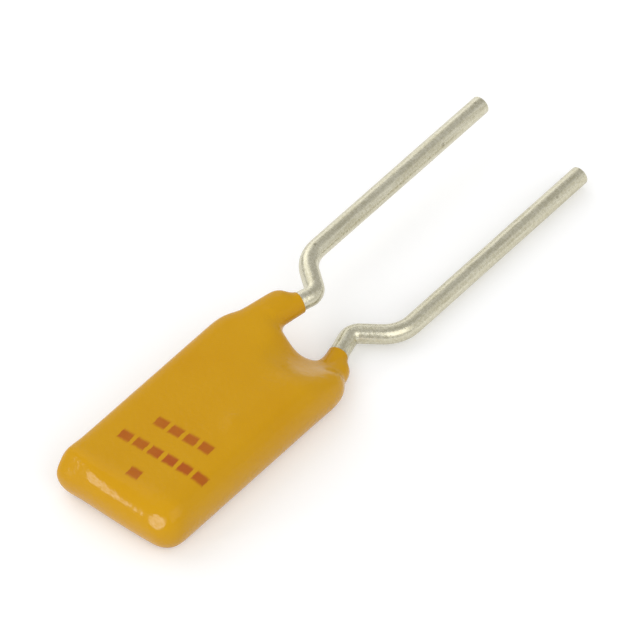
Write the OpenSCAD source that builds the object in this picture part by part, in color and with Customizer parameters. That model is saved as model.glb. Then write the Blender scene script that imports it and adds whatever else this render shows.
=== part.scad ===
// Resettable fuse with radial leads, lying on its flat underside.
// Millimetres. X runs across the body, Y along the leads, Z up.
// The origin is the centre of the coat's underside.

/* [Polymer plate] */
// Width of the polymer plate
chip_w = 4.9; // [4.2:0.1:7]
// Length of the polymer plate
chip_l = 9.5; // [8:0.1:14]
// Thickness of the polymer plate
chip_t = 0.36; // [0.2:0.02:0.8]
// Thickness of the nickel foil on each face
foil_t = 0.04; // [0.02:0.01:0.1]

/* [Leads] */
// Diameter of the tinned wire
lead_d = 0.8; // [0.5:0.05:0.9]
// Distance between the two straight legs
lead_pitch = 4.7; // [4.4:0.1:7]
// Distance of each soldered stretch from the middle line
lead_inset = 1.35; // [1.2:0.05:1.5]
// Sideways place of both leads and their horns, off the plate's middle line
lead_shift = 0.1; // [0:0.05:0.15]
// Length of wire that lies on the plate
lead_overlap = 5.5; // [3:0.1:7]
// Straight wire between the plate and the inward bend
toe_reach = 0.95; // [0.7:0.05:1.2]
// Inward share of the toe-in's slope
toe_in = 7; // [6:1:8]
// Onward share of the toe-in's slope
toe_on = 24; // [22:1:28]
// Bend radius at the start of the toe-in
toe_bend_r = 1; // [0.5:0.05:1.5]
// Bare straight wire between the coat's lip and the front lead's joggle
front_exit = 0.3; // [0.05:0.01:0.6]
// Bare straight wire between the coat's lip and the back lead's joggle
back_exit = 0.45; // [0.05:0.01:0.6]
// Outward share of the joggle's slope
slope_out = 4; // [3:1:5]
// Onward share of the joggle's slope
slope_on = 3; // [3:1:5]
// Bend radius at the coat's end of the joggle
root_bend_r = 0.5; // [0.5:0.05:0.95]
// Bend radius at the leg's end of the joggle
leg_bend_r = 1.45; // [0.5:0.05:1.6]
// Length of the front lead's straight leg
front_leg_l = 9.96; // [4:0.05:30]
// Length of the back lead's straight leg
back_leg_l = 10.24; // [4:0.05:30]
// Edge break left by the trimming at each tip
tip_break = 0.08; // [0.02:0.01:0.15]

/* [Solder] */
// Solder between a lead and its foil
solder_film = 0.03; // [0.01:0.01:0.1]
// Height of the solder up the wire's flanks
solder_rise = 0.3; // [0.15:0.05:0.4]
// Spread of the solder beside the wire, on the foil
solder_foot = 0.35; // [0.2:0.05:0.5]
// Width of the solder's upper rim beside the wire
solder_rim = 0.1; // [0.05:0.01:0.15]
// Solder past the wire's inner end, and bare foil at the plate's edge
solder_end = 0.3; // [0.1:0.05:0.6]

/* [Epoxy coat] */
// Rise of the flat faces above the lips round the leads
face_rise = 0.02; // [0.01:0.01:0.4]
// Coat beside the plate
side_coat = 0.5; // [0.3:0.05:1]
// Coat past the plate at the closed end
end_coat = 0.6; // [0.3:0.05:1.2]
// Coat past the plate at the lead end
root_coat = 1; // [0.9:0.05:1.6]
// Radius of the body's corners, seen from above
corner_r = 1.05; // [1:0.05:1.6]
// Radius of the body's rolled edges
edge_r = 0.8; // [0.3:0.05:0.95]

/* [Horns and notch] */
// Offset of each horn's middle, outwards from its lead
horn_offset = 0.2; // [0.1:0.05:0.4]
// Width of each horn
horn_w = 1.5; // [1.4:0.05:1.9]
// Distance from the body's shoulder to the centre of the horn's round end
horn_reach = 0.2; // [0.05:0.05:0.3]
// Coat round the lead in the horn
horn_coat = 0.09; // [0.06:0.01:0.14]
// Extra coat at the thickest place of the lip
lip_swell = 0.04; // [0.02:0.01:0.1]
// Reach of the lip along the lead, past the shoulder
lip_reach = 1.25; // [1.15:0.05:1.6]
// Radius of the notch between the horns
notch_r = 0.85; // [0.6:0.05:0.9]
// Depth of the notch below the shoulder
notch_depth = 0.55; // [0.2:0.05:0.6]
// Roundness of the notch's wall, over half the body's thickness
notch_round = 0.1; // [0.05:0.05:0.4]

/* [Hidden] */
$fn = 64;

lead_r = lead_d / 2;
// the stack: plate, foil, solder and wire, counted from the plate's middle plane
foil_top = chip_t / 2 + foil_t;
lead_h = foil_top + solder_film + lead_r;
body_w = chip_w + 2 * side_coat;
body_l = end_coat + chip_l + root_coat;
// the coat is as thick as the lips round both leads need
lip_r = lead_r + horn_coat + lip_swell;
body_t = 2 * (lead_h + lip_r + face_rise);
shoulder_y = body_l / 2;
chip_end_y = shoulder_y - root_coat;
// a rolled edge takes no more than these shares of the plan corner and the thickness
roll_corner_share = 0.8;
roll_thickness_share = 0.4;
roll_r = min(edge_r, roll_corner_share * corner_r, roll_thickness_share * body_t);
// the horn is as thick as the coated lead, and starts inside the body's rolled shoulder
horn_t = lead_d + 2 * horn_coat;
horn_tail = horn_reach + corner_r;
horn_flat = (horn_w - horn_t) / 2;
// the lip lies round the slanted wire, thickest where the slant starts
toe_angle = atan2(toe_in, toe_on);
lip_x = lead_inset - toe_bend_r * (1 - cos(toe_angle));
lip_y = chip_end_y + toe_reach + toe_bend_r * sin(toe_angle);
lip_half = (shoulder_y + lip_reach - lip_y) / cos(toe_angle);
// the joggle runs outwards from the leads' narrowest place to the leg, at the lead's own height
joggle_angle = atan2(slope_out, slope_on);
bend_out = (root_bend_r + leg_bend_r) * (1 - cos(joggle_angle));
function throat_x(exit) =
    lip_x - (lip_half + exit) * sin(toe_angle) - root_bend_r * (1 - cos(toe_angle));
function joggle_run(exit) =
    (lead_pitch / 2 - throat_x(exit) - bend_out) / sin(joggle_angle);
lead_start_y = chip_end_y - lead_overlap;
// radius of the lip's long bulge, which thins to half the horn's coat at both ends
lip_thin = lip_swell + horn_coat / 2;
lip_bulge_r = (lip_half * lip_half + lip_thin * lip_thin) / (2 * lip_thin);
// the notch's full-round wall is a little rounder than the body is thick
notch_wall_r = body_t / 2 + notch_round;

// lifts the middle plane so that the underside lies at zero
module lifted() {
    translate([0, 0, body_t / 2])
        children();
}

// turns a back piece into the front one
module turned_over() {
    rotate([0, 180, 0])
        children();
}

// moves the leads, and what is shaped round them, to their place on the plate
module set_over() {
    translate([lead_shift, 0, 0])
        children();
}

// a straight stretch of wire along +Z, with what follows at its end
module wire_run(length) {
    cylinder(d = lead_d, h = length);
    translate([0, 0, length])
        children();
}

// a sector between +X and an angle, whose sides run through exact points and not a rounded angle
module bend_sector(angle, reach) {
    linear_extrude(2 * lead_d, center = true)
        polygon([[0, 0], [reach, 0], [reach * cos(angle), reach * sin(angle)]]);
}

// a bend of the wire from +Z towards +X, with what follows at its end
module wire_bend(angle, radius) {
    translate([radius, 0, 0])
        rotate([90, 0, 180])
            intersection() {
                rotate_extrude()
                    translate([radius, 0])
                        circle(d = lead_d);
                bend_sector(angle, 2 * (radius + lead_r));
            }
    translate([radius * (1 - cos(angle)), 0, radius * sin(angle)])
        rotate([0, angle, 0])
            children();
}

// the trimmed tip of a leg
module wire_tip() {
    cylinder(d1 = lead_d, d2 = lead_d - 2 * tip_break, h = tip_break);
}

// a lead's soldered stretch and its toe-in, with what follows at their end
module lead_root(exit) {
    translate([lead_inset, lead_start_y, -lead_h])
        rotate([-90, 0, 0])
            wire_run(lead_overlap + toe_reach)
                rotate([0, 0, 180])
                    wire_bend(toe_angle, toe_bend_r)
                        wire_run(lip_half + exit)
                            rotate([0, 0, 180])
                                children();
}

// one lead: soldered stretch, toe-in, outward joggle and straight leg
module bent_lead(exit, leg_l) {
    lead_root(exit)
        wire_bend(toe_angle, root_bend_r)
            wire_bend(joggle_angle, root_bend_r)
                wire_run(joggle_run(exit))
                    rotate([0, 0, 180])
                        wire_bend(joggle_angle, leg_bend_r)
                            wire_run(leg_l - tip_break)
                                wire_tip();
}

// solder under and beside a lead, with the wire's space still filled
module solder_bed() {
    foot = lead_r + solder_foot;
    rim = lead_r + solder_rim;
    translate([lead_inset, lead_start_y - solder_end, -foil_top])
        rotate([-90, 0, 0])
            linear_extrude(lead_overlap)
                polygon([[-foot, 0], [foot, 0], [rim, solder_rise], [-rim, solder_rise]]);
}

module solder_joint(exit) {
    difference() {
        solder_bed();
        lead_root(exit);
    }
}

// a layer of the plate's outline between two heights
module plate_layer(from_z, thickness) {
    translate([-chip_w / 2, chip_end_y - chip_l, from_z])
        cube([chip_w, chip_l, thickness]);
}

// a quarter of a disc between the +X and +Y axes
module quarter_disc(radius) {
    intersection() {
        circle(r = radius);
        square(2 * radius);
    }
}

// the body's edge from a corner's centre outwards, with both rims rolled
module edge_section() {
    wall = corner_r - roll_r;
    rim_z = body_t / 2 - roll_r;
    translate([0, -body_t / 2])
        square([wall, body_t]);
    translate([wall, -rim_z])
        square([roll_r, 2 * rim_z]);
    translate([wall, rim_z])
        quarter_disc(roll_r);
    translate([wall, -rim_z])
        mirror([0, 1])
            quarter_disc(roll_r);
}

// a straight stretch of the rolled edge along Y, outwards to +X
module straight_edge(length) {
    rotate([90, 0, 0])
        linear_extrude(length, center = true)
            edge_section();
}

// the flat dipped body: a core, four straight edges and four turned corners
module slab() {
    core_w = body_w - 2 * corner_r;
    core_l = body_l - 2 * corner_r;
    cube([core_w, core_l, body_t], center = true);
    for (side = [0, 180])
        rotate([0, 0, side]) {
            translate([core_w / 2, 0, 0])
                straight_edge(core_l);
            translate([0, core_l / 2, 0])
                rotate([0, 0, 90])
                    straight_edge(core_w);
            translate([core_w / 2, core_l / 2, 0])
                rotate_extrude(angle = 90)
                    edge_section();
            translate([-core_w / 2, core_l / 2, 0])
                rotate([0, 0, 90])
                    rotate_extrude(angle = 90)
                        edge_section();
        }
}

// the notch between the horns, with a full-round wall
module notch() {
    translate([0, shoulder_y + notch_r - notch_depth, 0])
        rotate_extrude()
            difference() {
                translate([0, -body_t])
                    square([notch_r + notch_wall_r, 2 * body_t]);
                translate([notch_r + notch_wall_r, 0])
                    circle(r = notch_wall_r);
            }
}

// half of a horn's cross-section, from its middle outwards
module horn_section() {
    translate([0, -horn_t / 2])
        square([horn_flat, horn_t]);
    for (rim = [0, 1])
        translate([horn_flat, 0])
            mirror([0, rim])
                quarter_disc(horn_t / 2);
}

// one horn: a round-ended tongue of coat beside the lead, and a lip that thins out along it
module horn() {
    translate([lead_inset + horn_offset, shoulder_y + horn_reach, -lead_h]) {
        rotate_extrude(angle = 180)
            horn_section();
        rotate([90, 0, 0])
            linear_extrude(horn_tail)
                for (side = [0, 1])
                    mirror([side, 0])
                        horn_section();
    }
    translate([lip_x, lip_y, -lead_h])
        rotate([-90, 0, toe_angle])
            rotate_extrude()
                intersection() {
                    translate([0, -lip_half])
                        square([lip_r, 2 * lip_half]);
                    translate([lip_r - lip_bulge_r, 0])
                        circle(r = lip_bulge_r);
                }
}

module epoxy_coat() {
    color("#c9981e")
        lifted()
            difference() {
                union() {
                    difference() {
                        slab();
                        set_over()
                            notch();
                    }
                    set_over()
                        horn();
                    set_over()
                        turned_over()
                            horn();
                }
                plate_layer(-foil_top, 2 * foil_top);
                set_over()
                    solder_bed();
                set_over()
                    lead_root(back_exit);
                set_over()
                    turned_over()
                        solder_bed();
                set_over()
                    turned_over()
                        lead_root(front_exit);
            }
}

module polymer_chip() {
    color("#26262a")
        lifted()
            plate_layer(-chip_t / 2, chip_t);
}

module front_foil() {
    color("#b5b0a2")
        lifted()
            plate_layer(chip_t / 2, foil_t);
}

module back_foil() {
    color("#b5b0a2")
        lifted()
            plate_layer(-foil_top, foil_t);
}

module front_solder() {
    color("#b9bcc0")
        lifted()
            set_over()
                turned_over()
                    solder_joint(front_exit);
}

module back_solder() {
    color("#b9bcc0")
        lifted()
            set_over()
                solder_joint(back_exit);
}

module front_lead() {
    color("#c8c3b0")
        lifted()
            set_over()
                turned_over()
                    bent_lead(front_exit, front_leg_l);
}

module back_lead() {
    color("#c8c3b0")
        lifted()
            set_over()
                bent_lead(back_exit, back_leg_l);
}

epoxy_coat();
polymer_chip();
front_foil();
back_foil();
front_solder();
back_solder();
front_lead();
back_lead();
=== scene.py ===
import math

import bmesh
import bpy
from mathutils import Matrix, Vector


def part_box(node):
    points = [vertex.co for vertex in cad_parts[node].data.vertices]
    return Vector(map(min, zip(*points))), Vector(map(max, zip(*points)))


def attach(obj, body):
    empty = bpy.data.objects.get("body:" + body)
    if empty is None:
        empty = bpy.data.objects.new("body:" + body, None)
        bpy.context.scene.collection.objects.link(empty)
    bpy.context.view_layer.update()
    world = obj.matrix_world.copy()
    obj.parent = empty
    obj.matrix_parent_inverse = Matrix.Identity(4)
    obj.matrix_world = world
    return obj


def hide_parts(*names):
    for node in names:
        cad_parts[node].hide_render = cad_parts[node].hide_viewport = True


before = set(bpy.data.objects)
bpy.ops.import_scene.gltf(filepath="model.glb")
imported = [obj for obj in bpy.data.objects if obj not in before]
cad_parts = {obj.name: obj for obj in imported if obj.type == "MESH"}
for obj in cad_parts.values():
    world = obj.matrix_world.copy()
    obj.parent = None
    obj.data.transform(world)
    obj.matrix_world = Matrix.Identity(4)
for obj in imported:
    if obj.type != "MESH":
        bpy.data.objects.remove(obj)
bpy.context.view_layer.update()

# The dipped coat.
# One skin of ochre epoxy: the plate, the solder and the roots of both leads are dipped in it
# together. It draws round at every edge, sinks between the wires and climbs a little up each one.
MM = 0.001
coat_low, coat_high = (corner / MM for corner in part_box("epoxy_coat"))
body_w = coat_high.x - coat_low.x
body_t = coat_high.z - coat_low.z
closed_y = coat_low.y
shoulder_y = 5.45
left_corner_r = 0.75
right_corner_r = 0.95
left_shoulder_r = 1.9
right_shoulder_r = 0.9
side_roll = 0.6
lead_x = 1.35
lead_shift = 0.1
lead_lift = 0.65
wire_r = 0.4
toe = math.atan2(7, 24)
toe_start_y = 5.5
toe_bend_r = 1.0
horn_half_w = 0.68
horn_half_t = 0.57
horn_tail_y = 3.6
lip_base_r = 0.61
lip_end_r = 0.43
film_t = 0.02
notch_x = -0.15
notch_half_w = 0.9
notch_depth = 0.33
ramp_rise = 0.95
ramp_fall = 1.15
corner_pull = 0.21
end_draw = 0.36
end_bow = 0.012
rim_lean = 0.3
voxel = 0.07


def round_bevel(bm, edges, radius, segments):
    """Rounds edges off with an even arc."""
    bmesh.ops.bevel(
        bm, geom=edges, offset=radius, offset_type="OFFSET", segments=segments,
        profile=0.5, affect="EDGES", material=-1, clamp_overlap=True,
    )


def rounded_block(bm, size, centre, turn, corner_radii, rim_radius):
    """A block turned in plan, with radii for its upright corners and both its rims rolled."""
    block = bmesh.new()
    verts = bmesh.ops.create_cube(block, size=1.0)["verts"]
    bmesh.ops.scale(block, vec=size, verts=verts)
    for (x_side, y_side), radius in corner_radii.items():
        upright = [
            e for e in block.edges
            if all(v.co.x * x_side > size[0] / 2 - 1e-4 for v in e.verts)
            and all(v.co.y * y_side > size[1] / 2 - 1e-4 for v in e.verts)
        ]
        round_bevel(block, upright, radius, 8)
    rims = [
        e for e in block.edges
        if any(abs(f.normal.z) > 0.9 for f in e.link_faces)
        and any(abs(f.normal.z) < 0.1 for f in e.link_faces)
    ]
    round_bevel(block, rims, rim_radius, 8)
    bmesh.ops.rotate(block, matrix=Matrix.Rotation(turn, 3, "Z"), verts=block.verts)
    bmesh.ops.translate(block, vec=centre, verts=block.verts)
    part = bpy.data.meshes.new("block")
    block.to_mesh(part)
    block.free()
    bm.from_mesh(part)
    bpy.data.meshes.remove(part)


def smoothstep(low, high, value):
    """Rises from 0 at low to 1 at high, with level ends."""
    t = min(1.0, max(0.0, (value - low) / (high - low)))
    return t * t * (3.0 - 2.0 * t)


def piece(name, bm, finish):
    """A finished mesh as an object at the origin, smooth shaded."""
    mesh = bpy.data.meshes.new(name)
    bm.to_mesh(mesh)
    bm.free()
    mesh.shade_smooth()
    mesh.materials.append(finish)
    obj = bpy.data.objects.new(name, mesh)
    bpy.context.collection.objects.link(obj)
    return obj


def skin(bm):
    """One closed, even skin over all the shapes laid into each other."""
    laid = bpy.data.meshes.new("laid")
    bm.to_mesh(laid)
    bm.free()
    obj = bpy.data.objects.new("laid", laid)
    bpy.context.collection.objects.link(obj)
    film = obj.modifiers.new("film", "REMESH")
    film.mode = "VOXEL"
    film.voxel_size = voxel
    skinned = bmesh.new()
    skinned.from_object(obj, bpy.context.evaluated_depsgraph_get())
    bpy.data.objects.remove(obj)
    bpy.data.meshes.remove(laid)
    return skinned


def settle(bm, times, verts=None):
    """Lets the wet coat draw smooth, all over or round some of its points."""
    for _ in range(times):
        bmesh.ops.smooth_vert(
            bm, verts=verts or bm.verts, factor=0.5,
            use_axis_x=True, use_axis_y=True, use_axis_z=True,
        )


# the slab, in millimetres: its sides are rolled as one half-round with a narrow band at its middle,
# which is then stretched to the coat's thickness
coat = bmesh.new()
band_share = 0.02
roll_t = (2.0 + band_share) * side_roll
rounded_block(
    coat, (body_w, shoulder_y - closed_y, roll_t),
    (0, (shoulder_y + closed_y) / 2, roll_t / 2), 0.0,
    {
        (-1, -1): left_corner_r, (1, -1): right_corner_r,
        (-1, 1): left_shoulder_r, (1, 1): right_shoulder_r,
    },
    side_roll,
)
bmesh.ops.scale(coat, vec=(1, 1, body_t / roll_t), verts=coat.verts)
coat = skin(coat)
settle(coat, 8)

# the notch between the wires, the slopes down to the back wire and up to the front one, the closed
# end that drew rounder towards the right and leans back at the left, and the one corner that ran
# full
notch_y = (shoulder_y - 1.6, shoulder_y - 0.2)
slope_x = (-0.5, 0.7)
rise_y = (3.2, 5.8)
fall_y = (3.1, 5.6)
ridge_x = (1.3, 2.6)
ridge_share = 0.4
draw_l = 1.0
draw_skew = 0.12
bow_x = -0.4
bow_l = 2.0
lean_z_share = (0.45, 0.95)
lean_x = (1.2, 2.9)
lean_l = 1.4
pull_r = 0.8
for v in coat.verts:
    x, y, z = v.co
    from_end = y - closed_y
    share = z / body_t
    across = max(0.0, 1.0 - ((x - notch_x) / notch_half_w) ** 2)
    v.co.y -= notch_depth * across * smoothstep(*notch_y, y)
    v.co.z += ramp_rise * (1.0 - share) * smoothstep(*rise_y, y) * smoothstep(*slope_x, -x)
    ridge = 1.0 - ridge_share * smoothstep(*ridge_x, x)
    v.co.z -= ramp_fall * share * ridge * smoothstep(*fall_y, y) * smoothstep(*slope_x, x)
    drawn = end_draw * (1.0 - smoothstep(0.0, draw_l + draw_skew * x, from_end))
    v.co.z -= drawn * max(0.0, z - body_t / 2)
    v.co.y += end_bow * (x - bow_x) ** 2 * (1.0 - smoothstep(0.0, bow_l, from_end))
    lean = rim_lean * smoothstep(*lean_z_share, share) * smoothstep(*lean_x, -x)
    v.co.y += lean * (1.0 - smoothstep(0.0, lean_l, from_end))
    pull = corner_pull * math.exp(-((x + body_w / 2) ** 2 + from_end ** 2) / pull_r ** 2)
    v.co.x = max(-body_w / 2, v.co.x - pull)
    v.co.y = max(closed_y, v.co.y - pull)

# a horn along each wire, and a lip that thins out round it
horn_end_share = 0.95
horn_roll_share = 0.9
lip_overrun = 0.4
films = []
for side, horn_x, turn, horn_end_y, film_end_y in (
    (-1, 1.6, -0.7 * toe, 6.72, 6.68), (1, 1.73, 0.3 * toe, 6.3, 6.4),
):
    horn_z = body_t / 2 - side * lead_lift
    horn_l = horn_end_y - horn_tail_y
    rounded_block(
        coat, (2 * horn_half_w, horn_l, 2 * horn_half_t),
        (side * horn_x, horn_end_y - horn_l / 2, horn_z), turn,
        {(end, 1): horn_end_share * horn_half_w for end in (-1, 1)},
        horn_roll_share * horn_half_t,
    )
    slant = Vector((-side * math.sin(toe), math.cos(toe), 0.0))
    slant_x = lead_shift + side * (lead_x - toe_bend_r * (1 - math.cos(toe)))
    bend_end = Vector((slant_x, toe_start_y + toe_bend_r * math.sin(toe), horn_z))
    film_end = bend_end + slant * (film_end_y - bend_end.y) / slant.y
    lip_start = bend_end - slant / 2
    lip_l = (film_end - lip_start).length + lip_overrun
    bmesh.ops.create_cone(
        coat, cap_ends=True, segments=32, radius1=lip_base_r, radius2=lip_end_r, depth=lip_l,
        matrix=Matrix.Translation(lip_start + slant * lip_l / 2)
        @ slant.to_track_quat("Z", "X").to_matrix().to_4x4(),
    )
    root_end = Vector((lead_shift + side * lead_x, toe_start_y, horn_z))
    films.append((side, root_end, film_end, slant))
coat = skin(coat)
settle(coat, 20)


def mound(x, y, centre, spread):
    """A round rise to 1 at its centre, spread by its own length along each axis."""
    return math.exp(-(((x - centre[0]) / spread[0]) ** 2) - ((y - centre[1]) / spread[1]) ** 2)


# the upper face: high over the front wire, sunk towards the notch, rolled off along the right, with
# a small knob
facing_up = (0.15, 0.8)
basin_depth = 0.26
basin_centre = (0.9, 4.6)
basin_spread = (1.25, 1.7)
strip_depth = 0.1
strip_x = (1.3, 2.9)
strip_y = (4.0, 5.5)
knob_height = 0.05
knob_centre = (1.36, 0.12)
knob_spread = (0.32, 0.42)
coat.normal_update()
for v in coat.verts:
    up = smoothstep(*facing_up, v.normal.z)
    if up == 0.0:
        continue
    x, y = v.co.x, v.co.y
    basin = mound(x, y, basin_centre, basin_spread)
    strip = smoothstep(*strip_x, x) * (1.0 - smoothstep(*strip_y, y))
    knob = mound(x, y, knob_centre, knob_spread)
    v.co.z += up * (knob_height * knob - basin_depth * basin - strip_depth * strip)
settle(coat, 4)

# surface tension fills the hollows round the horns, and takes nothing from the ridges; the root of
# the back wire then settles further
horns_y = 3.8
fillet_y = 4.6
fillet_x = (-1.6, 0.4)
back_root_x = 0.7
back_root_y = 4.3
near_horns = [v for v in coat.verts if v.co.y > horns_y]
in_notch = [
    v for v in near_horns if fillet_x[0] < v.co.x < fillet_x[1] and v.co.y > fillet_y
]
for wet, times in ((near_horns, 120), (in_notch, 300)):
    for _ in range(times):
        coat.normal_update()
        before = [(v, v.co.copy(), v.normal.copy()) for v in wet]
        settle(coat, 1, wet)
        for v, old, normal in before:
            if (v.co - old).dot(normal) < 0.0:
                v.co = old
settle(coat, 40, [v for v in coat.verts if v.co.x > back_root_x and v.co.y > back_root_y])

# two flats that the closed end's edge and its right corner dried with, each a direction and a depth
flat_share = 0.85
for flat, depth in ((Vector((0.0, -0.82, 0.57)), 0.008), (Vector((0.25, -0.79, 0.56)), 0.06)):
    limit = max(v.co.dot(flat) for v in coat.verts) - depth
    for v in coat.verts:
        over = v.co.dot(flat) - limit
        if over > 0.0:
            v.co -= flat * flat_share * over
settle(coat, 4)

# back to the sides, the faces and the closed end of the CAD solid
low = Vector([min(v.co[i] for v in coat.verts) for i in range(3)])
high = Vector([max(v.co[i] for v in coat.verts) for i in range(3)])
for v in coat.verts:
    for i in (0, 2):
        share = (v.co[i] - low[i]) / (high[i] - low[i])
        v.co[i] = coat_low[i] + share * (coat_high[i] - coat_low[i])
    share = max(0.0, (toe_start_y - v.co.y) / (toe_start_y - low.y))
    v.co.y += share * (coat_low.y - low.y)

# a film is left over each wire as far as the dip went, and ends square to it
along = Vector((0, 1, 0))
for side, root_end, film_end, slant in films:
    for v in coat.verts:
        if v.co.x * side < 0.0 or v.co.y < horn_tail_y:
            continue
        middle, run = (root_end, along) if v.co.y < toe_start_y else (film_end, slant)
        out = v.co - middle
        out -= run * out.dot(run)
        if 0.0 < out.length < wire_r + film_t:
            v.co += out.normalized() * (wire_r + film_t - out.length)
    tip = [
        f for f in coat.faces
        if all(v.co.x * side > 0.0 and v.co.y > toe_start_y for v in f.verts)
    ]
    tip += list({e for f in tip for e in f.edges}) + list({v for f in tip for v in f.verts})
    cut = bmesh.ops.bisect_plane(
        coat, geom=tip, plane_co=film_end, plane_no=slant, clear_outer=True
    )["geom_cut"]
    rim = [e for e in cut if isinstance(e, bmesh.types.BMEdge)]
    bmesh.ops.holes_fill(coat, edges=rim, sides=0)

bmesh.ops.scale(coat, vec=(MM, MM, MM), verts=coat.verts)
bmesh.ops.recalc_face_normals(coat, faces=coat.faces)


def linear(hex_colour):
    """An sRGB hex colour as linear RGBA."""
    parts = [int(hex_colour[i:i + 2], 16) / 255 for i in (1, 3, 5)]
    return [c / 12.92 if c <= 0.04045 else ((c + 0.055) / 1.055) ** 2.4 for c in parts] + [1.0]


def add(tree, kind, links=None, **settings):
    """Adds a node: settings are its own properties, links its inputs by name or number."""
    node = tree.nodes.new(kind)
    for name, value in settings.items():
        setattr(node, name, value)
    for name, value in (links or {}).items():
        if isinstance(value, bpy.types.NodeSocket):
            tree.links.new(value, node.inputs[name])
        else:
            node.inputs[name].default_value = value
    return node


def material(name):
    """An empty node material with its shader and its output."""
    made = bpy.data.materials.new(name)
    made.use_nodes = True
    tree = made.node_tree
    tree.nodes.clear()
    shader = add(tree, "ShaderNodeBsdfPrincipled")
    add(tree, "ShaderNodeOutputMaterial", {"Surface": shader.outputs["BSDF"]})
    return made, tree, shader


# Dipped and oven-cured epoxy, filled with pigment: an even ochre with a satin gloss and a faint
# orange peel. On its upper face a stamp has left rows of plain bars in thin red-brown ink.
dipped_epoxy, tree, shader = material("dipped_epoxy")
place = add(tree, "ShaderNodeTexCoord").outputs["Object"]
cloud = add(
    tree, "ShaderNodeTexNoise", {"Vector": place, "Scale": 1 / (2.5 * MM), "Detail": 3.0}
).outputs["Fac"]
tint = add(
    tree, "ShaderNodeMix",
    {0: cloud, 6: linear("#c68f06"), 7: linear("#cd9a12")}, data_type="RGBA",
).outputs[2]
ink_middle = (0.55 * MM, -2.92 * MM, 0.0)
ink_turn = math.radians(3.4)
bar_pitch = 0.72
bar_gap = 0.22
row_pitch = 1.3
row_gap = 1.02
wander = add(
    tree, "ShaderNodeTexNoise", {"Vector": place, "Scale": 1 / (0.22 * MM), "Detail": 2.0}
).outputs["Color"]
ragged = add(
    tree, "ShaderNodeVectorMath", {0: wander, 1: (0.1 * MM,) * 3, 2: place},
    operation="MULTIPLY_ADD",
).outputs["Vector"]
stamp = add(
    tree, "ShaderNodeMapping",
    {"Vector": ragged, "Location": ink_middle, "Rotation": (0, 0, ink_turn), "Scale": (MM, MM, MM)},
    vector_type="TEXTURE",
).outputs["Vector"]
# the bricks of a brick wall with wide joints are the bars; its height is drawn in by the share of
# the two joints, because both are equally wide in the wall
first_brick = (3 * bar_pitch, 1.5 * row_pitch * bar_gap / row_gap, 0.0)
wall = add(
    tree, "ShaderNodeVectorMath",
    {0: stamp, 1: (1.0, bar_gap / row_gap, 1.0), 2: first_brick}, operation="MULTIPLY_ADD",
).outputs["Vector"]
joint = add(
    tree, "ShaderNodeTexBrick",
    {
        "Vector": wall, "Scale": 1.0, "Mortar Size": bar_gap / 2, "Mortar Smooth": 0.35,
        "Brick Width": bar_pitch, "Row Height": row_pitch * bar_gap / row_gap,
    },
    offset=0.0,
).outputs["Fac"]
across_bars = add(tree, "ShaderNodeSeparateXYZ", {0: stamp}).outputs
inked = None
for row, first_bar, last_bar in ((1, -2, 2), (0, -3, 3), (-1, -1, 0)):
    in_row = add(
        tree, "ShaderNodeMath",
        {0: across_bars["Y"], 1: row * row_pitch, 2: row_pitch / 2}, operation="COMPARE",
    ).outputs[0]
    in_bars = add(
        tree, "ShaderNodeMath",
        {
            0: across_bars["X"], 1: (first_bar + last_bar) / 2 * bar_pitch,
            2: (last_bar - first_bar) / 2 * bar_pitch,
        },
        operation="COMPARE",
    ).outputs[0]
    here = add(tree, "ShaderNodeMath", {0: in_row, 1: in_bars}, operation="MULTIPLY").outputs[0]
    inked = here if inked is None else add(
        tree, "ShaderNodeMath", {0: inked, 1: here}, operation="ADD"
    ).outputs[0]
stamped_from_z = 1.6 * MM
height = add(tree, "ShaderNodeSeparateXYZ", {0: place}).outputs["Z"]
above = add(
    tree, "ShaderNodeMath", {0: height, 1: stamped_from_z}, operation="GREATER_THAN"
).outputs[0]
inked = add(tree, "ShaderNodeMath", {0: inked, 1: above}, operation="MULTIPLY").outputs[0]
bars = add(tree, "ShaderNodeMath", {0: 1.0, 1: joint}, operation="SUBTRACT").outputs[0]
inked = add(tree, "ShaderNodeMath", {0: inked, 1: bars}, operation="MULTIPLY").outputs[0]
thin = add(
    tree, "ShaderNodeMapRange",
    {"Value": cloud, "From Min": 0.3, "From Max": 0.7, "To Min": 0.7, "To Max": 0.95},
).outputs["Result"]
inked = add(tree, "ShaderNodeMath", {0: inked, 1: thin}, operation="MULTIPLY").outputs[0]
printed = add(
    tree, "ShaderNodeMix", {0: inked, 6: tint, 7: linear("#a84d17")}, data_type="RGBA"
).outputs[2]
tree.links.new(printed, shader.inputs["Base Color"])
peel = add(
    tree, "ShaderNodeTexNoise", {"Vector": place, "Scale": 1 / (0.22 * MM), "Detail": 2.0}
).outputs["Fac"]
bump = add(
    tree, "ShaderNodeBump", {"Height": peel, "Strength": 0.55, "Distance": 0.03 * MM}
)
tree.links.new(bump.outputs["Normal"], shader.inputs["Normal"])
shader.inputs["Roughness"].default_value = 0.19
shader.inputs["IOR"].default_value = 1.5
shader.inputs["Specular IOR Level"].default_value = 0.17

epoxy_coat = piece("dipped_coat", coat, dipped_epoxy)
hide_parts("epoxy_coat")
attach(epoxy_coat, "root")

# The two leads.
# Round copper wire, hot-tinned, cut to length and joggled in a forming tool, then soldered to the
# plate's two faces. The back one is the front one turned over, a little longer before its joggle.
wire_start_y = -0.95
joggle = math.atan2(4, 3)
root_bend_r = 0.5
leg_bend_r = 1.45
leg_x = 2.35
tip_break = 0.08


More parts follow.
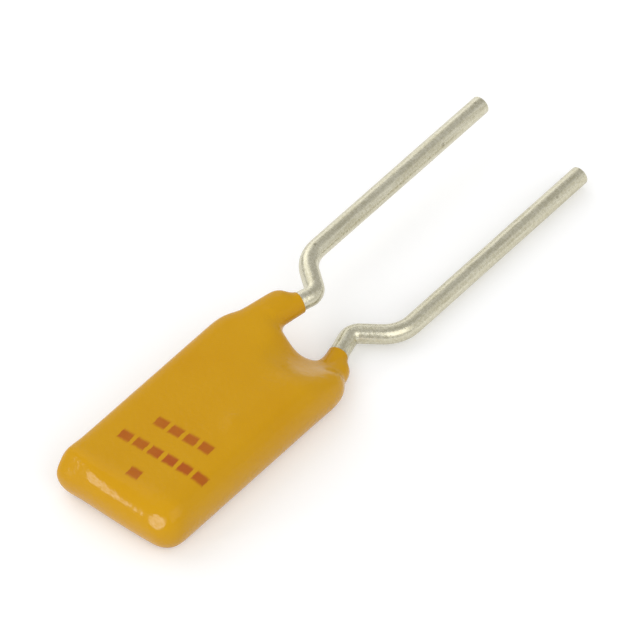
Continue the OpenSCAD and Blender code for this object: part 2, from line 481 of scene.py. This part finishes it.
def draw_out(bm, ring, direction, length, steps):
    """Carries the wire's open end straight on, and counts the length drawn."""
    drawn = bm.verts.layers.float_vector["drawn"]
    for _ in range(steps):
        grown = bmesh.ops.extrude_edge_only(bm, edges=ring)["geom"]
        ends = set(g for g in grown if isinstance(g, bmesh.types.BMVert))
        bmesh.ops.translate(bm, vec=direction * (length / steps), verts=list(ends))
        for v in ends:
            v[drawn].y += length / steps
        ring = [
            g for g in grown
            if isinstance(g, bmesh.types.BMEdge) and all(v in ends for v in g.verts)
        ]
    return ring


def bend(bm, ring, towards, axis, radius, angle, steps):
    """Turns the wire's open end about a centre that lies to one side of it."""
    drawn = bm.verts.layers.float_vector["drawn"]
    verts = set(v for e in ring for v in e.verts)
    middle = sum((v.co for v in verts), Vector()) / len(verts)
    for _ in range(steps):
        turned = bmesh.ops.spin(
            bm, geom=ring, cent=middle + towards * radius, axis=axis, angle=angle / steps, steps=1,
            use_merge=False, use_duplicate=False,
        )["geom_last"]
        for g in turned:
            if isinstance(g, bmesh.types.BMVert):
                g[drawn].y += radius * angle / steps
        ring = [g for g in turned if isinstance(g, bmesh.types.BMEdge)]
    return ring


def lead(side, toe_l, leg_l):
    """The bent wire on one side of the plate: -1 front, 1 back."""
    bm = bmesh.new()
    drawn = bm.verts.layers.float_vector.new("drawn")
    outwards = Vector((side, 0, 0))
    axis = along.cross(outwards)
    ring = bmesh.ops.create_circle(
        bm, cap_ends=False, segments=40, radius=wire_r,
        matrix=Matrix.Translation(
            (lead_shift + side * lead_x, wire_start_y, body_t / 2 - side * lead_lift)
        ) @ Matrix.Rotation(math.pi / 2, 4, "X"),
    )["verts"]
    for v in ring:
        v[drawn] = (v.co.x, side * leg_l, v.co.z)
    first = list({e for v in ring for e in v.link_edges})
    ring = draw_out(bm, first, along, toe_start_y - wire_start_y, 12)
    ring = bend(bm, ring, -outwards, -axis, toe_bend_r, toe, 4)
    slant = along * math.cos(toe) - outwards * math.sin(toe)
    ring = draw_out(bm, ring, slant, toe_l, 6)
    across = along * math.sin(toe) + outwards * math.cos(toe)
    ring = bend(bm, ring, across, axis, root_bend_r, toe + joggle, 16)
    slope = along * math.cos(joggle) + outwards * math.sin(joggle)
    throat_x = (
        lead_x - (toe_bend_r + root_bend_r) * (1 - math.cos(toe)) - toe_l * math.sin(toe)
    )
    bends = (root_bend_r + leg_bend_r) * (1 - math.cos(joggle))
    ring = draw_out(bm, ring, slope, (leg_x - throat_x - bends) / math.sin(joggle), 6)
    inwards = along * math.sin(joggle) - outwards * math.cos(joggle)
    ring = bend(bm, ring, inwards, -axis, leg_bend_r, joggle, 12)
    ring = draw_out(bm, ring, along, leg_l, 24)
    bmesh.ops.holes_fill(bm, edges=first, sides=0)
    tip = bmesh.ops.holes_fill(bm, edges=ring, sides=0)["faces"]
    bmesh.ops.recalc_face_normals(bm, faces=bm.faces)
    round_bevel(bm, [e for f in tip for e in f.edges], tip_break, 3)
    bmesh.ops.scale(bm, vec=(MM, MM, MM), verts=bm.verts)
    return bm


# Hot-tinned copper wire: a warm bright grey, streaked along its length by the drawing die, with a
# slightly lumpy skin of tin that breaks up the highlights and a few dull specks.
tinned_copper, tree, shader = material("hot_tinned_copper")
place = add(tree, "ShaderNodeTexCoord").outputs["Object"]
along_wire = add(tree, "ShaderNodeAttribute", attribute_name="drawn").outputs["Vector"]
drawn = add(
    tree, "ShaderNodeMapping", {"Vector": along_wire, "Scale": (1 / 0.12, 1 / 1.8, 1 / 0.12)}
).outputs["Vector"]
streak = add(
    tree, "ShaderNodeTexNoise", {"Vector": drawn, "Scale": 1.0, "Detail": 3.0, "Roughness": 0.6}
).outputs["Fac"]
lumps = add(
    tree, "ShaderNodeTexNoise", {"Vector": place, "Scale": 1 / (0.1 * MM), "Detail": 3.0}
).outputs["Fac"]
marks = add(tree, "ShaderNodeMath", {0: streak, 1: lumps}, operation="ADD").outputs[0]
worn = add(
    tree, "ShaderNodeMapRange", {"Value": marks, "From Min": 0.7, "From Max": 1.3}
).outputs["Result"]
tin = add(
    tree, "ShaderNodeMix",
    {0: worn, 6: linear("#c0baa0"), 7: linear("#dcd8c4")}, data_type="RGBA",
).outputs[2]
cells = add(tree, "ShaderNodeTexVoronoi", {"Vector": place, "Scale": 1 / (0.55 * MM)}).outputs
near = add(
    tree, "ShaderNodeMath", {0: cells["Distance"], 1: 0.13}, operation="LESS_THAN"
).outputs[0]
lot = add(tree, "ShaderNodeSeparateXYZ", {0: cells["Color"]}).outputs["X"]
rare = add(tree, "ShaderNodeMath", {0: lot, 1: 0.55}, operation="GREATER_THAN").outputs[0]
speck = add(tree, "ShaderNodeMath", {0: near, 1: rare}, operation="MULTIPLY").outputs[0]
speck = add(tree, "ShaderNodeMath", {0: speck, 1: 0.5}, operation="MULTIPLY").outputs[0]
specked = add(
    tree, "ShaderNodeMix", {0: speck, 6: tin, 7: linear("#8a8470")}, data_type="RGBA"
).outputs[2]
tree.links.new(specked, shader.inputs["Base Color"])
dull = add(
    tree, "ShaderNodeMapRange", {"Value": lumps, "To Min": 0.16, "To Max": 0.38}
).outputs["Result"]
tree.links.new(dull, shader.inputs["Roughness"])
bump = add(
    tree, "ShaderNodeBump", {"Height": marks, "Strength": 0.4, "Distance": 0.02 * MM}
)
tree.links.new(bump.outputs["Normal"], shader.inputs["Normal"])
shader.inputs["Metallic"].default_value = 1.0

for name, node, side, toe_l, leg_l in (
    ("front_wire", "front_lead", -1, 1.3625, 9.96),
    ("back_wire", "back_lead", 1, 1.5125, 10.24),
):
    wire = piece(name, lead(side, toe_l, leg_l), tinned_copper)
    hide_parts(node)
    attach(wire, "root")

# The plate inside.
# A sheet of carbon-filled polymer between two rolled nickel foils, with each lead soldered to its
# foil. The coat hides all of it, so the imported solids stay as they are.
carbon_polymer, tree, shader = material("carbon_filled_polymer")
place = add(tree, "ShaderNodeTexCoord").outputs["Object"]
mottle = add(
    tree, "ShaderNodeTexNoise", {"Vector": place, "Scale": 1 / (0.2 * MM), "Detail": 2.0}
).outputs["Fac"]
carbon = add(
    tree, "ShaderNodeMix",
    {0: mottle, 6: linear("#1c1c1f"), 7: linear("#2c2c30")}, data_type="RGBA",
).outputs[2]
tree.links.new(carbon, shader.inputs["Base Color"])
shader.inputs["Roughness"].default_value = 0.6

rolled_nickel, tree, shader = material("rolled_nickel_foil")
place = add(tree, "ShaderNodeTexCoord").outputs["Object"]
line_w = 0.08 * MM
line_l = 2.0 * MM
rolled = add(
    tree, "ShaderNodeMapping", {"Vector": place, "Scale": (1 / line_w, 1 / line_l, 1 / line_w)}
).outputs["Vector"]
lines = add(
    tree, "ShaderNodeTexNoise", {"Vector": rolled, "Scale": 1.0, "Detail": 2.0}
).outputs["Fac"]
nickel = add(
    tree, "ShaderNodeMix",
    {0: lines, 6: linear("#a39d8d"), 7: linear("#bfb9a8")}, data_type="RGBA",
).outputs[2]
tree.links.new(nickel, shader.inputs["Base Color"])
shader.inputs["Metallic"].default_value = 1.0
shader.inputs["Roughness"].default_value = 0.35

tin_solder, tree, shader = material("tin_solder")
place = add(tree, "ShaderNodeTexCoord").outputs["Object"]
crystals = add(
    tree, "ShaderNodeTexVoronoi", {"Vector": place, "Scale": 1 / (0.3 * MM)}
).outputs["Distance"]
solder_grey = add(
    tree, "ShaderNodeMix",
    {0: crystals, 6: linear("#c4c6c8"), 7: linear("#9fa2a6")}, data_type="RGBA",
).outputs[2]
tree.links.new(solder_grey, shader.inputs["Base Color"])
shader.inputs["Metallic"].default_value = 1.0
shader.inputs["Roughness"].default_value = 0.3

for node, finish in (
    ("polymer_chip", carbon_polymer), ("front_foil", rolled_nickel), ("back_foil", rolled_nickel),
    ("front_solder", tin_solder), ("back_solder", tin_solder),
):
    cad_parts[node].material_slots[0].material = finish

# The table, the light and the camera.
# A white table in a light room, between two broad soft boxes, with a weak wall at the right rear, a
# panel at the left rear and two small low lamps in front, seen from the photograph's own angle.
floor_bm = bmesh.new()
bmesh.ops.create_grid(floor_bm, x_segments=1, y_segments=1, size=1.0)
white_table = bpy.data.materials.new("white_table")
white_table.use_nodes = True
tree = white_table.node_tree
tree.nodes.clear()
rays = add(tree, "ShaderNodeLightPath").outputs
seen = rays["Is Camera Ray"]
for ray in ("Is Glossy Ray", "Is Transmission Ray"):
    seen = add(tree, "ShaderNodeMath", {0: seen, 1: rays[ray]}, operation="ADD").outputs[0]
table_glow = 0.25
lift = add(tree, "ShaderNodeMath", {0: seen, 1: table_glow}, operation="MULTIPLY").outputs[0]
paint = add(tree, "ShaderNodeBsdfDiffuse", {"Color": (0.82, 0.82, 0.82, 1.0)})
glow = add(tree, "ShaderNodeEmission", {"Strength": lift})
both = add(tree, "ShaderNodeAddShader", {0: paint.outputs[0], 1: glow.outputs[0]})
add(tree, "ShaderNodeOutputMaterial", {"Surface": both.outputs[0]})
floor = piece("table", floor_bm, white_table)

world = bpy.data.worlds.new("studio")
bpy.context.scene.world = world
world.use_nodes = True
tree = world.node_tree
tree.nodes.clear()
sky = add(tree, "ShaderNodeBackground", {"Color": (1.0, 1.0, 1.0, 1.0), "Strength": 0.62})
add(tree, "ShaderNodeOutputWorld", {"Surface": sky.outputs[0]})


def soft_box(name, direction, distance, width, height, radiance):
    """A rectangular lamp that looks at the part, given by how bright its face is."""
    lamp = bpy.data.lights.new(name, "AREA")
    lamp.shape = "RECTANGLE"
    lamp.size = width
    lamp.size_y = height
    lamp.energy = radiance * math.pi * width * height
    obj = bpy.data.objects.new(name, lamp)
    towards = Vector(direction).normalized()
    obj.location = towards * distance
    obj.rotation_mode = "QUATERNION"
    obj.rotation_quaternion = towards.to_track_quat("Z", "Y")
    obj.visible_camera = False
    bpy.context.collection.objects.link(obj)


soft_box("left_box", (-0.7, -0.05, 0.7), 0.5, 0.5, 0.5, 0.75)
soft_box("right_box", (0.7, -0.25, 0.67), 0.5, 0.45, 0.45, 1.2)
soft_box("right_wall", (0.8, 0.45, 0.4), 0.5, 0.5, 0.4, 0.25)
soft_box("left_strip", (-0.45, -0.87, 0.2), 0.4, 0.06, 0.05, 19.0)
soft_box("front_strip", (0.0, -0.96, 0.28), 0.4, 0.06, 0.07, 19.0)
soft_box("rear_panel", (-0.78, 0.5, 0.36), 0.5, 0.4, 0.32, 0.6)

camera_data = bpy.data.cameras.new("camera")
camera_data.sensor_width = 36.0
camera_data.lens = 502.16
camera_data.clip_start = 0.01
camera_data.clip_end = 10.0
camera = bpy.data.objects.new("camera", camera_data)
bpy.context.collection.objects.link(camera)
right = Vector((0.756902, 0.652807, -0.030693))
upwards = Vector((-0.471226, 0.577703, 0.666487))
backwards = Vector((0.452819, -0.490003, 0.744884))
aim = Matrix((right, upwards, backwards)).transposed()
camera.rotation_mode = "QUATERNION"
camera.rotation_quaternion = aim.to_quaternion()
camera.location = Vector((157.391, -163.532, 260.283)) * MM
bpy.context.scene.camera = camera
bpy.context.scene.view_settings.view_transform = "Standard"
